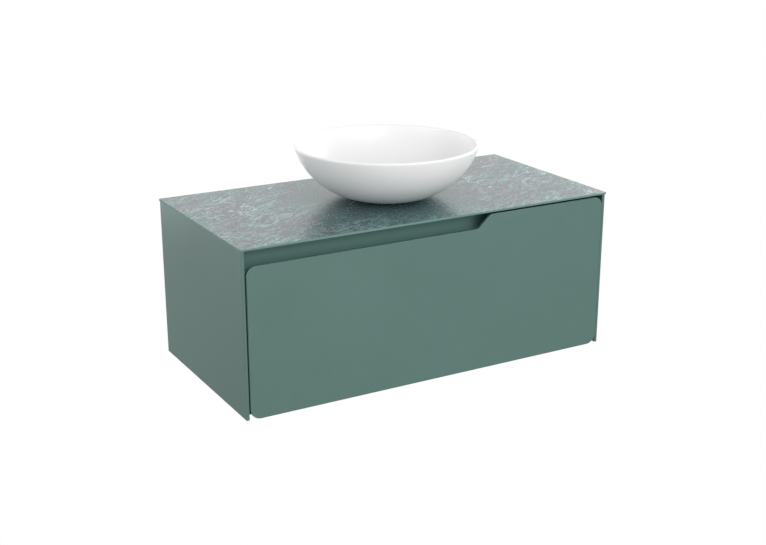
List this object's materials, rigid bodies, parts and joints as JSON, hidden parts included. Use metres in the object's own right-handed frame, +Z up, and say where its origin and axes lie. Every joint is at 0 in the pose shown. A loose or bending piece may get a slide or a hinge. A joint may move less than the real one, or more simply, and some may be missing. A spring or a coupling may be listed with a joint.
{
  "type": "vanity with vessel sink",
  "caption": "Wall-hung vanity: thin marble-pattern worktop, round ceramic vessel sink, and a drawer whose stepped front shows a finger channel.",
  "frame": {"origin": "on the wall plane, at the centre of the four wall-screw holes in the two wall plates", "axes": "+Z up, +Y into the wall, +X to the right seen from the front; the drawer opens towards -Y"},
  "size_m": [1, 0.495, 0.5375],
  "materials": {
    "green_lacquer": "satin lacquer",
    "green_metal": "satin powder coat",
    "marble_top": "satin, green marble pattern",
    "white_ceramic": "glossy glaze",
    "carcass_board": "matt melamine",
    "drawer_board": "matt melamine",
    "zinc_steel": "zinc plated",
    "chrome": "polished",
    "grey_plastic": "moulded",
    "white_plastic": "moulded",
    "black_rubber": "matt"
  },
  "bodies": {
    "cabinet": {"worktop": "marble_top", "bowl": "white_ceramic", "side_panel_left": "green_lacquer", "side_panel_right": "green_lacquer", "finger_channel": "green_metal", "carcass_side_left": "carcass_board", "carcass_side_right": "carcass_board", "top_board": "carcass_board", "carcass_bottom": "carcass_board", "back_rail_upper": "carcass_board", "back_rail_lower": "carcass_board", "carcass_cams": "zinc_steel", "wall_plate_left": "zinc_steel", "wall_plate_right": "zinc_steel", "hanger_housing_left": "grey_plastic", "hanger_housing_right": "grey_plastic", "hanger_hook_left": "zinc_steel", "hanger_hook_right": "zinc_steel", "hanger_adjusters": "zinc_steel", "hanger_screws": "zinc_steel", "bowl_gasket": "black_rubber", "waste_seal": "black_rubber", "waste_body": "chrome", "waste_washer": "black_rubber", "waste_locknut": "chrome", "waste_spring": "zinc_steel", "trap_inlet_nut": "white_plastic", "trap_dip_tube": "white_plastic", "trap_body": "white_plastic", "trap_cup": "white_plastic", "trap_outlet_nut": "white_plastic", "trap_pipe": "white_plastic", "runner_cabinet_left": "zinc_steel", "runner_cabinet_right": "zinc_steel", "runner_screws_cabinet": "zinc_steel", "drawer_bumpers": "black_rubber"},
    "drawer": {"drawer_front": "green_lacquer", "drawer_inner_front": "drawer_board", "drawer_side_left": "drawer_board", "drawer_side_right": "drawer_board", "drawer_bottom": "drawer_board", "drawer_back_left": "drawer_board", "drawer_back_right": "drawer_board", "trap_surround": "grey_plastic", "front_screws": "zinc_steel", "runner_drawer_left": "zinc_steel", "runner_drawer_right": "zinc_steel", "runner_screws_drawer": "zinc_steel"},
    "runner_middle_left": {"runner_middle_left": "zinc_steel"},
    "runner_middle_right": {"runner_middle_right": "zinc_steel"},
    "waste_plug": {"waste_plug": "chrome"}
  },
  "joints": [
    {"name": "drawer_slide", "type": "slide", "parent": "cabinet", "child": "drawer", "axis": [0, -1, 0], "range_m": [0, 0.4]},
    {"name": "middle_left_slide", "type": "slide", "parent": "cabinet", "child": "runner_middle_left", "axis": [0, -1, 0], "range_m": [0, 0.2]},
    {"name": "middle_right_slide", "type": "slide", "parent": "cabinet", "child": "runner_middle_right", "axis": [0, -1, 0], "range_m": [0, 0.2]},
    {"name": "plug_press", "type": "slide", "parent": "cabinet", "child": "waste_plug", "axis": [0, 0, -1], "range_m": [0, 0.0065], "stiffness_N_per_m": 300, "springref_m": -0.006, "deforming": ["waste_spring"]}
  ],
  "couplings": [
    {"joint": "middle_left_slide", "follows": "drawer_slide", "ratio": 0.5},
    {"joint": "middle_right_slide", "follows": "drawer_slide", "ratio": 0.5}
  ]
}
